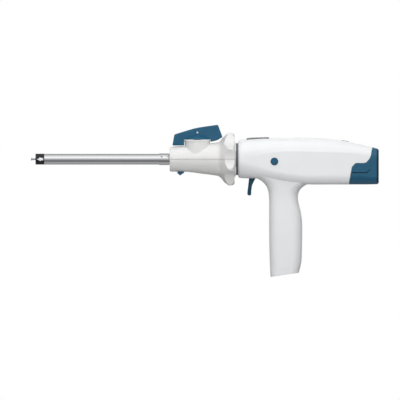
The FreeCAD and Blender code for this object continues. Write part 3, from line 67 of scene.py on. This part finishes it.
# Lamps: name, place, target, width and depth, power
LAMPS = [
    ("top_softbox", (0.20, -0.35, 1.10), (0.20, 0.0, 0.0), (1.3, 0.9), 8.6),
    ("front_softbox", (0.20, -1.60, 0.42), (0.20, 0.0, -0.03), (0.6, 0.9), 15.2),
    ("back_softbox", (0.20, 1.50, 0.80), (0.20, 0.0, 0.0), (1.4, 0.8), 8.5),
]

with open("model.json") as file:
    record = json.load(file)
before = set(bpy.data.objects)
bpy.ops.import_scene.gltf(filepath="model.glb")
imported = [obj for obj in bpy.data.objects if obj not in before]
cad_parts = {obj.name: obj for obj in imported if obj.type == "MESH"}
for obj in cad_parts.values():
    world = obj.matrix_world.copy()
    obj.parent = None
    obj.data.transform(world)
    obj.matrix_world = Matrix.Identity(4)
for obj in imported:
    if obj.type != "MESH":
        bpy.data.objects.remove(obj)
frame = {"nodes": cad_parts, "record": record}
cad_low, cad_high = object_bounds()
nodes = frame["nodes"]


# Stage: camera, floor, background and lamps

def add_camera():
    """A long-lens side view, framed as the photograph is."""
    data = bpy.data.cameras.new("camera")
    data.type = "ORTHO"
    data.ortho_scale = PHOTO_SPAN
    data.clip_end = 30.0
    camera = bpy.data.objects.new("camera", data)
    camera.location = (PHOTO_CENTRE_X, -2.0, PHOTO_CENTRE_Z)
    camera.rotation_euler = (math.radians(90.0), 0.0, 0.0)
    bpy.context.scene.collection.objects.link(camera)
    bpy.context.scene.camera = camera


# What gloss shows of the studio: an angle in degrees and the light there. The angle starts from the
# horizon ahead of the photographed side, grows over the top, and is less than 0 below the horizon.
STUDIO_RING = [
    (-180.0, 0.45),
    (-165.0, 0.20),
    (-140.0, 0.18),
    (-118.0, 0.34),
    (-76.0, 0.40),
    (-54.0, 0.17),
    (-26.0, 0.17),
    (-6.0, 0.42),
    (10.0, 0.62),
    (32.0, 1.15),
    (56.0, 0.85),
    (84.0, 0.66),
    (112.0, 0.24),
    (128.0, 0.26),
    (148.0, 0.95),
    (166.0, 0.55),
    (180.0, 0.45),
]


def studio_ring(tree):
    """A grey that turns with the direction around the shaft, as soft screens around a product do."""
    direction = tree.nodes.new("ShaderNodeTexCoord")
    parts = tree.nodes.new("ShaderNodeSeparateXYZ")
    tree.links.new(direction.outputs["Generated"], parts.inputs[0])
    ahead = tree.nodes.new("ShaderNodeMath")
    ahead.operation = "MULTIPLY"
    ahead.inputs[1].default_value = -1.0
    tree.links.new(parts.outputs["Y"], ahead.inputs[0])
    angle = tree.nodes.new("ShaderNodeMath")
    angle.operation = "ARCTAN2"
    tree.links.new(parts.outputs["Z"], angle.inputs[0])
    tree.links.new(ahead.outputs[0], angle.inputs[1])
    share = tree.nodes.new("ShaderNodeMapRange")
    share.inputs["From Min"].default_value = -math.pi
    share.inputs["From Max"].default_value = math.pi
    tree.links.new(angle.outputs[0], share.inputs["Value"])
    ramp = tree.nodes.new("ShaderNodeValToRGB")
    tree.links.new(share.outputs[0], ramp.inputs["Fac"])
    stops = ramp.color_ramp.elements
    for degrees, light in STUDIO_RING:
        place = (degrees + 180.0) / 360.0
        if place <= 0.0:
            stop = stops[0]
        elif place >= 1.0:
            stop = stops[len(stops) - 1]
        else:
            stop = stops.new(place)
        grey = light / RING_PEAK
        stop.color = (grey, grey, grey, 1.0)
    return ramp


def add_world():
    """White behind the object, soft screens for gloss, and an even, weaker light from all round."""
    world = bpy.data.worlds.new("studio")
    bpy.context.scene.world = world
    world.use_nodes = True
    tree = world.node_tree
    tree.nodes.clear()
    path = tree.nodes.new("ShaderNodeLightPath")
    shown = tree.nodes.new("ShaderNodeMath")
    shown.operation = "MAXIMUM"
    tree.links.new(path.outputs["Is Camera Ray"], shown.inputs[0])
    tree.links.new(path.outputs["Is Transmission Ray"], shown.inputs[1])
    fill = tree.nodes.new("ShaderNodeBackground")
    fill.inputs["Color"].default_value = FILL_COLOUR
    fill.inputs["Strength"].default_value = FILL_LIGHT
    white = tree.nodes.new("ShaderNodeBackground")
    white.inputs["Strength"].default_value = 1.0
    white.inputs["Color"].default_value = (1.0, 1.0, 1.0, 1.0)
    screens = tree.nodes.new("ShaderNodeBackground")
    screens.inputs["Strength"].default_value = RING_PEAK * RING_LIGHT
    tree.links.new(studio_ring(tree).outputs["Color"], screens.inputs["Color"])
    soft = tree.nodes.new("ShaderNodeMixShader")
    tree.links.new(path.outputs["Is Glossy Ray"], soft.inputs["Fac"])
    tree.links.new(fill.outputs[0], soft.inputs[1])
    tree.links.new(screens.outputs[0], soft.inputs[2])
    mix = tree.nodes.new("ShaderNodeMixShader")
    tree.links.new(shown.outputs[0], mix.inputs["Fac"])
    tree.links.new(soft.outputs[0], mix.inputs[1])
    tree.links.new(white.outputs[0], mix.inputs[2])
    out = tree.nodes.new("ShaderNodeOutputWorld")
    tree.links.new(mix.outputs[0], out.inputs["Surface"])


def add_lamp(name, place, target, size, power):
    """A soft rectangular lamp aimed at a point, hidden from gloss."""
    data = bpy.data.lights.new(name, "AREA")
    data.shape = "RECTANGLE"
    data.size = size[0]
    data.size_y = size[1]
    data.energy = power
    lamp = bpy.data.objects.new(name, data)
    lamp.location = place
    aim = Vector(target) - Vector(place)
    lamp.rotation_euler = aim.to_track_quat("-Z", "Y").to_euler()
    lamp.visible_glossy = False
    bpy.context.scene.collection.objects.link(lamp)


def add_floor():
    """A pale floor just under the grip, which fades to plain white far from the object."""
    centre = (FLOOR_X, 0.0, cad_low.z - FLOOR_GAP)
    bpy.ops.mesh.primitive_grid_add(x_subdivisions=8, y_subdivisions=8, size=FLOOR_SIZE, location=centre)
    floor = bpy.context.object
    floor.name = "floor"
    paint = bpy.data.materials.new("floor_white")
    paint.use_nodes = True
    tree = paint.node_tree
    tree.nodes.clear()
    place = tree.nodes.new("ShaderNodeTexCoord")
    far = tree.nodes.new("ShaderNodeVectorMath")
    far.operation = "LENGTH"
    tree.links.new(place.outputs["Object"], far.inputs[0])
    fade = tree.nodes.new("ShaderNodeMapRange")
    fade.interpolation_type = "SMOOTHSTEP"
    fade.inputs["From Min"].default_value = FADE_START
    fade.inputs["From Max"].default_value = FADE_END
    tree.links.new(far.outputs["Value"], fade.inputs["Value"])
    pale = tree.nodes.new("ShaderNodeBsdfDiffuse")
    pale.inputs["Color"].default_value = FLOOR_SEEN
    dim = tree.nodes.new("ShaderNodeBsdfDiffuse")
    dim.inputs["Color"].default_value = FLOOR_BOUNCE
    glow = tree.nodes.new("ShaderNodeEmission")
    glow.inputs["Strength"].default_value = 1.0
    path = tree.nodes.new("ShaderNodeLightPath")
    matt = tree.nodes.new("ShaderNodeMixShader")
    tree.links.new(path.outputs["Is Camera Ray"], matt.inputs["Fac"])
    tree.links.new(dim.outputs[0], matt.inputs[1])
    tree.links.new(pale.outputs[0], matt.inputs[2])
    share = tree.nodes.new("ShaderNodeMath")
    share.operation = "MULTIPLY"
    tree.links.new(fade.outputs[0], share.inputs[0])
    tree.links.new(path.outputs["Is Camera Ray"], share.inputs[1])
    mix = tree.nodes.new("ShaderNodeMixShader")
    tree.links.new(share.outputs[0], mix.inputs["Fac"])
    tree.links.new(matt.outputs[0], mix.inputs[1])
    tree.links.new(glow.outputs[0], mix.inputs[2])
    out = tree.nodes.new("ShaderNodeOutputMaterial")
    tree.links.new(mix.outputs[0], out.inputs["Surface"])
    floor.data.materials.append(paint)
    floor.visible_glossy = False


bpy.context.scene.view_settings.view_transform = "Standard"
add_camera()
add_world()
add_floor()
for lamp_row in LAMPS:
    add_lamp(*lamp_row)


# Materials

def new_material(name, colour, roughness, metallic=0.0, specular=0.5):
    """A material with one Principled shader. Returns it with its tree and shader."""
    material = bpy.data.materials.new(name)
    material.use_nodes = True
    tree = material.node_tree
    shader = tree.nodes["Principled BSDF"]
    shader.inputs["Base Color"].default_value = (*colour, 1.0)
    shader.inputs["Roughness"].default_value = roughness
    shader.inputs["Metallic"].default_value = metallic
    shader.inputs["Specular IOR Level"].default_value = specular
    return material, tree, shader


def srgb(red, green, blue):
    """A colour read as screen values 0 to 255, as linear light."""
    linear = []
    for part in (red, green, blue):
        share = part / 255.0
        linear.append(share / 12.92 if share <= 0.04045 else ((share + 0.055) / 1.055) ** 2.4)
    return tuple(linear)


def noise_node(tree, scale, detail=2.0, stretch=(1.0, 1.0, 1.0)):
    """A noise over the object's own coordinates, stretched along its axes."""
    place = tree.nodes.new("ShaderNodeTexCoord")
    spread = tree.nodes.new("ShaderNodeMapping")
    spread.inputs["Scale"].default_value = stretch
    tree.links.new(place.outputs["Object"], spread.inputs["Vector"])
    noise = tree.nodes.new("ShaderNodeTexNoise")
    noise.inputs["Scale"].default_value = scale
    noise.inputs["Detail"].default_value = detail
    tree.links.new(spread.outputs[0], noise.inputs["Vector"])
    return noise


def vary_colour(tree, shader, noise, low, high):
    """Shift the colour a little with a noise."""
    ramp = tree.nodes.new("ShaderNodeValToRGB")
    ramp.color_ramp.elements[0].position = 0.3
    ramp.color_ramp.elements[0].color = (*low, 1.0)
    ramp.color_ramp.elements[1].position = 0.7
    ramp.color_ramp.elements[1].color = (*high, 1.0)
    tree.links.new(noise.outputs["Fac"], ramp.inputs["Fac"])
    tree.links.new(ramp.outputs["Color"], shader.inputs["Base Color"])


def vary_roughness(tree, shader, noise, low, high):
    """Shift the roughness a little with a noise."""
    span = tree.nodes.new("ShaderNodeMapRange")
    span.inputs["To Min"].default_value = low
    span.inputs["To Max"].default_value = high
    tree.links.new(noise.outputs["Fac"], span.inputs["Value"])
    tree.links.new(span.outputs[0], shader.inputs["Roughness"])


def bump(tree, shader, noise, depth, edge):
    """Fine relief from a noise, over edges that are softened by a small radius."""
    relief = tree.nodes.new("ShaderNodeBump")
    relief.inputs["Distance"].default_value = depth
    relief.inputs["Strength"].default_value = 1.0
    tree.links.new(noise.outputs["Fac"], relief.inputs["Height"])
    if edge > 0.0:
        soft = tree.nodes.new("ShaderNodeBevel")
        soft.samples = 4
        soft.inputs["Radius"].default_value = edge
        tree.links.new(soft.outputs[0], relief.inputs["Normal"])
    tree.links.new(relief.outputs[0], shader.inputs["Normal"])


def scaled(colour, share):
    """The same colour, lighter or darker."""
    return tuple(min(part * share, 1.0) for part in colour)


def moulded(name, screen_colour, roughness, grain, depth, edge, spread, specular):
    """Moulded plastic: faint shade changes, spark-eroded grain and soft edges."""
    colour = srgb(*screen_colour)
    material, tree, shader = new_material(name, colour, roughness, specular=specular)
    broad = noise_node(tree, BROAD_GRAIN)
    vary_colour(tree, shader, broad, scaled(colour, 1.0 - spread), scaled(colour, 1.0 + spread))
    fine = noise_node(tree, grain, 3.0)
    vary_roughness(tree, shader, fine, roughness - 0.06, roughness + 0.06)
    bump(tree, shader, fine, depth * MM, edge * MM)
    return material


def drawn_metal(name, screen_colour, roughness, stretch, grain, depth, edge):
    """Metal with fine lines along or around it."""
    colour = srgb(*screen_colour)
    material, tree, shader = new_material(name, colour, roughness, metallic=1.0)
    lines = noise_node(tree, grain, 4.0, stretch)
    vary_colour(tree, shader, lines, scaled(colour, 0.93), scaled(colour, 1.05))
    vary_roughness(tree, shader, lines, roughness - 0.05, roughness + 0.07)
    bump(tree, shader, lines, depth * MM, edge * MM)
    return material


BROAD_GRAIN = 60.0

# Plastics: name, colour on screen, roughness, scale of the grain, depth of the grain in mm,
# radius of the edges in mm, how far the shade varies, specular level
PLASTICS = [
    ("white_shell", (231, 232, 233), 0.42, 2600.0, 0.02, 0.6, 0.008, 0.5),
    ("knob_white", (225, 224, 223), 0.36, 2600.0, 0.02, 0.4, 0.008, 0.5),
    ("blue_plastic", (22, 80, 108), 0.42, 2400.0, 0.02, 0.5, 0.05, 0.45),
    # A darker copy of the blue plastic, painted shade for the trigger under the body, also used on the
    # button's bezel
    ("shaded_blue", (14, 60, 80), 0.42, 2400.0, 0.02, 0.5, 0.05, 0.3),
    # A dark blue of painted shade, for the latches' grooves and the pack's rounded rear edges
    ("shade_line_blue", (10, 40, 56), 0.5, 2400.0, 0.01, 0.0, 0.05, 0.2),
    ("pin_cap", (214, 222, 228), 0.4, 2400.0, 0.01, 0.2, 0.03, 0.5),
    ("black_plastic", (27, 28, 30), 0.45, 2200.0, 0.02, 0.3, 0.06, 0.3),
    ("dark_ring", (92, 96, 100), 0.5, 2200.0, 0.02, 0.3, 0.05, 0.5),
    ("nylon", (214, 212, 204), 0.5, 1800.0, 0.02, 0.3, 0.03, 0.5),
    ("cell_wrap", (58, 112, 92), 0.35, 900.0, 0.01, 0.3, 0.06, 0.5),
    ("circuit_board", (28, 84, 58), 0.4, 1500.0, 0.01, 0.2, 0.12, 0.5),
    ("smoked_lens", (70, 74, 78), 0.18, 500.0, 0.004, 0.3, 0.04, 0.5),
    ("print_white", (236, 237, 238), 0.5, 1800.0, 0.004, 0.05, 0.02, 0.5),
    # A dark grey of painted shade, for the dimple and the notch in the collar
    ("recess_shade_dark", (70, 72, 75), 0.5, 1500.0, 0.004, 0.05, 0.05, 0.5),
]

# Metals: name, colour on screen, roughness, stretch of the lines along X, Y and Z, scale of the lines,
# their depth in mm, radius of the edges in mm
METALS = [
    ("shaft_steel", (199, 200, 202), 0.2, (0.05, 9.0, 9.0), 260.0, 0.003, 0.0),
    ("inner_steel", (178, 181, 184), 0.32, (6.0, 1.0, 1.0), 900.0, 0.004, 0.2),
    ("screw_steel", (170, 172, 176), 0.34, (1.0, 1.0, 1.0), 1500.0, 0.004, 0.2),
    ("brass", (196, 164, 92), 0.3, (1.0, 8.0, 8.0), 700.0, 0.004, 0.2),
    ("frame_aluminium", (186, 189, 192), 0.4, (8.0, 1.0, 1.0), 700.0, 0.006, 0.3),
]

# Nodes whose look differs from that of their slot in the record
LOOK_OF_NODE = {
    # The trigger and the button's bezel take the darker blue of painted shade
    "trigger": "shaded_blue",
    "button_bezel": "shaded_blue",
    "battery_tray": "black_plastic",
    "lever_pin": "pin_cap",
}

looks = {}
for row in PLASTICS:
    looks[row[0]] = moulded(*row)
for row in METALS:
    looks[row[0]] = drawn_metal(*row)


def dress_nodes():
    """Give each CAD node the material of its slot in the record."""
    slot_of = {}
    for entry in frame["record"]["materials"]:
        for name in entry.get("nodes", []):
            slot_of[name] = entry["slot"]
    for name, obj in nodes.items():
        slot = slot_of.get(name)
        for place in obj.material_slots:
            usual = slot or place.material.name.split(".")[0]
            place.material = looks[LOOK_OF_NODE.get(name, usual)]


dress_nodes()


# Small printed and pressed details and patches of painted shade, laid on the surfaces that carry them

def across(pixel):
    """The place along X that the photograph shows at a pixel column."""
    return (pixel - PHOTO_ORIGIN_X) * PHOTO_SCALE


def upward(pixel):
    """The place along Z that the photograph shows at a pixel row."""
    return (PHOTO_ORIGIN_Y - pixel) * PHOTO_SCALE


# The arrow printed on the tip: its point, shoulder and tail, its level, and its half widths
ARROW_POINT = across(37.0)
ARROW_SHOULDER = across(40.6)
ARROW_TAIL = across(43.1)
ARROW_LEVEL = upward(159.2)
ARROW_WIDE = 2.1 * MM
ARROW_NARROW = 1.35 * MM

# Painted shade: a dark round patch for a dimple in the collar, and a dark patch for the notch where the
# collar meets the knob
DIMPLE_X = across(161.6)
DIMPLE_Z = upward(156.9)
DIMPLE_RADIUS = 0.9 * MM
NOTCH_ROWS = [
    (across(168.1), upward(158.2), upward(155.6)),
    (across(169.3), upward(158.4), upward(155.4)),
]

# Painted shade: the dark line in the groove along the lower edge of each latch, which rises behind the
# bend
LATCH_FRONT = across(352.3)
LATCH_BEND = 364.4 * MM
LATCH_REAR = 367.7 * MM
LATCH_LOW = -15.04 * MM
LATCH_LINE = 0.75 * MM

# Painted shade: the dark band where the side of the battery pack rounds into its rear face
EDGE_FRONT = across(376.7)
EDGE_REAR = across(378.5)
EDGE_LOW = upward(182.6)
EDGE_HIGH = upward(150.0)
EDGE_CORNER = 1.1 * MM

# The rim round the top of the knob's boss
BOSS_X = 178.1 * MM
BOSS_RADIUS = 14.0 * MM
BOSS_TOP = 21.1 * MM
RIM_PROUD = 0.32 * MM
RIM_LOW = 18.9 * MM
RIM_PROFILE = [
    (BOSS_RADIUS - 0.4 * MM, RIM_LOW),
    (BOSS_RADIUS + RIM_PROUD - 0.1 * MM, RIM_LOW),
    (BOSS_RADIUS + RIM_PROUD, RIM_LOW + 0.12 * MM),
    (BOSS_RADIUS + RIM_PROUD, BOSS_TOP - 0.4 * MM),
    (BOSS_RADIUS + RIM_PROUD - 0.1 * MM, BOSS_TOP - 0.15 * MM),
    (BOSS_RADIUS + RIM_PROUD - 0.32 * MM, BOSS_TOP - 0.03 * MM),
    (BOSS_RADIUS - 0.4 * MM, BOSS_TOP - 0.03 * MM),
]

# The ribs behind the grip: levels of the lowest and highest, their number, half length, depth under
# the shell, share of the height at their ends, and profile
RIBS_LOW = upward(262.0)
RIBS_HIGH = upward(218.0)
RIB_COUNT = 23
RIB_REACH = 8.0 * MM
RIB_SINK = 0.05 * MM
RIB_END = 0.1
RIB_PROFILE = [
    (-0.60 * MM, 0.0),
    (-0.42 * MM, 0.24 * MM),
    (0.0, 0.36 * MM),
    (0.42 * MM, 0.24 * MM),
    (0.60 * MM, 0.0),
]

# Where the rays towards the sides and the back of the object start
BESIDE = 0.2
BEHIND = 0.36
SEAM_NUDGES = (0.0, 0.02 * MM, -0.02 * MM)
PATCH_LIFT = 0.03 * MM
PATCH_THICKNESS = 0.06 * MM


def spot_on(node, start, ahead):
    """The first point of a node along a ray, with its normal.

    A ray that slips through a seam tries again beside it.
    """
    for nudge in SEAM_NUDGES:
        found, spot, normal, face = nodes[node].ray_cast(start + Vector((nudge, nudge, nudge)), ahead)
        if found:
            return spot, normal
    raise ValueError(f"nothing of {node} ahead of {start}")


def finish_piece(name, made, look, body):
    """Turn a built mesh into a piece that rides on a body."""
    made.normal_update()
    mesh = bpy.data.meshes.new(name)
    made.to_mesh(mesh)
    made.free()
    for face in mesh.polygons:
        face.use_smooth = True
    mesh.materials.append(looks[look])
    piece = bpy.data.objects.new(name, mesh)
    bpy.context.scene.collection.objects.link(piece)
    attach(piece, body)
    return piece


def skin_patch(name, body, node, rows, look, side=-1.0, steps=12):
    """A thin patch on a side of a node, -1 for the photographed one.

    Rows are (x, lowest z, highest z).
    """
    made = bmesh.new()
    grid = []
    for x, low_z, high_z in rows:
        line = []
        for step in range(steps + 1):
            z = low_z + (high_z - low_z) * step / steps
            spot, normal = spot_on(node, Vector((x, BESIDE * side, z)), Vector((0.0, -side, 0.0)))
            line.append(made.verts.new(spot + normal * PATCH_LIFT))
        grid.append(line)
    for first, second in zip(grid, grid[1:]):
        for index in range(steps):
            made.faces.new((first[index], second[index], second[index + 1], first[index + 1]))
    piece = finish_piece(name, made, look, body)
    skin = piece.modifiers.new("skin", "SOLIDIFY")
    skin.thickness = PATCH_THICKNESS
    skin.offset = 0.0


def turned_ring(name, body, centre, profile, look, steps=96):
    """A ring turned about an upright axis. The profile is a closed line of (radius, level)."""
    made = bmesh.new()
    rounds = []
    for step in range(steps):
        turn = 2.0 * math.pi * step / steps
        out = Vector((math.cos(turn), math.sin(turn), 0.0))
        line = []
        for radius, level in profile:
            line.append(made.verts.new(out * radius + Vector((centre, 0.0, level))))
        rounds.append(line)
    for index, line in enumerate(rounds):
        following = rounds[(index + 1) % steps]
        for place in range(len(profile)):
            beside = (place + 1) % len(profile)
            made.faces.new((line[place], following[place], following[beside], line[beside]))
    bmesh.ops.recalc_face_normals(made, faces=made.faces)
    finish_piece(name, made, look, body)


def rear_ribs(name, body, look):
    """Low rounded ribs across the back of the grip, fading out to both sides."""
    made = bmesh.new()
    places = [RIB_REACH * (step / 4.5 - 1.0) for step in range(10)]
    for number in range(RIB_COUNT):
        z = RIBS_LOW + (RIBS_HIGH - RIBS_LOW) * number / (RIB_COUNT - 1)
        lines = []
        for y in places:
            shell = "left_shell" if y < 0.0 else "right_shell"
            spot, normal = spot_on(shell, Vector((BEHIND, y, z)), Vector((-1.0, 0.0, 0.0)))
            share = max(RIB_END, 1.0 - abs(y / RIB_REACH) ** 4)
            line = []
            for shift, rise in RIB_PROFILE:
                point = spot + normal * (rise * share - RIB_SINK) + Vector((0.0, 0.0, shift))
                line.append(made.verts.new(point))
            lines.append(line)
        for first, second in zip(lines, lines[1:]):
            for place in range(len(RIB_PROFILE)):
                beside = (place + 1) % len(RIB_PROFILE)
                made.faces.new((first[place], second[place], second[beside], first[beside]))
        made.faces.new(lines[0])
        made.faces.new(lines[-1])
    bmesh.ops.recalc_face_normals(made, faces=made.faces)
    finish_piece(name, made, look, body)


def round_rows(x, z, radius, count=12):
    """Rows of a round patch."""
    rows = []
    for step in range(count + 1):
        turn = math.pi * step / count
        half = max(radius * math.sin(turn), 0.02 * MM)
        rows.append((x - radius * math.cos(turn), z - half, z + half))
    return rows


def arrow_rows():
    """Rows of an arrow that points to the tip of the shaft."""
    rows = []
    for step in range(9):
        share = step / 8
        half = max(ARROW_WIDE * share, 0.03 * MM)
        x = ARROW_POINT + (ARROW_SHOULDER - ARROW_POINT) * share
        rows.append((x, ARROW_LEVEL - half, ARROW_LEVEL + half))
    for x in (ARROW_SHOULDER + 0.05 * MM, ARROW_TAIL):
        rows.append((x, ARROW_LEVEL - ARROW_NARROW, ARROW_LEVEL + ARROW_NARROW))
    return rows


def latch_shade_rows():
    """Rows of the painted shade in the groove under a latch, level and then rising to the rear."""
    rows = []
    for step in range(17):
        x = LATCH_FRONT + (LATCH_REAR - LATCH_FRONT) * step / 16
        low_z = LATCH_LOW + max(0.0, x - LATCH_BEND)
        rows.append((x, low_z, low_z + LATCH_LINE))
    return rows


def edge_shade_rows():
    """Rows of the painted shade where the side of the battery pack rounds into its rear face."""
    rows = []
    for step in range(7):
        share = step / 6
        corner = EDGE_CORNER * share * share
        x = EDGE_FRONT + (EDGE_REAR - EDGE_FRONT) * share
        rows.append((x, EDGE_LOW + corner, EDGE_HIGH - corner / 2))
    return rows


# The pieces: printed arrow, painted shade of the collar's dimple and notch, of the latches' grooves and
# of the pack's rear edges, rim and ribs

skin_patch("tip_arrow", "knob", "tip_sleeve", arrow_rows(), "print_white")
# Patches of painted shade for the collar's dimple and notch
skin_patch("collar_dimple_shade", "knob", "shaft_collar", round_rows(DIMPLE_X, DIMPLE_Z, DIMPLE_RADIUS),
           "recess_shade_dark")
skin_patch("collar_notch_shade", "knob", "shaft_collar", NOTCH_ROWS, "recess_shade_dark")
# Patches of painted shade in the grooves under both latches
skin_patch("latch_shade_near", "near_latch", "latch_left", latch_shade_rows(),
           "shade_line_blue", steps=3)
skin_patch("latch_shade_far", "far_latch", "latch_right", latch_shade_rows(),
           "shade_line_blue", side=1.0, steps=3)
# Patches of painted shade on the rounded rear edge of the pack, on both sides
skin_patch("pack_edge_shade_near", "battery", "battery_case", edge_shade_rows(),
           "shade_line_blue", steps=28)
skin_patch("pack_edge_shade_far", "battery", "battery_case", edge_shade_rows(),
           "shade_line_blue", side=1.0, steps=28)
turned_ring("boss_rim", "knob", BOSS_X, RIM_PROFILE, "knob_white")
rear_ribs("grip_ribs", "handle", "white_shell")
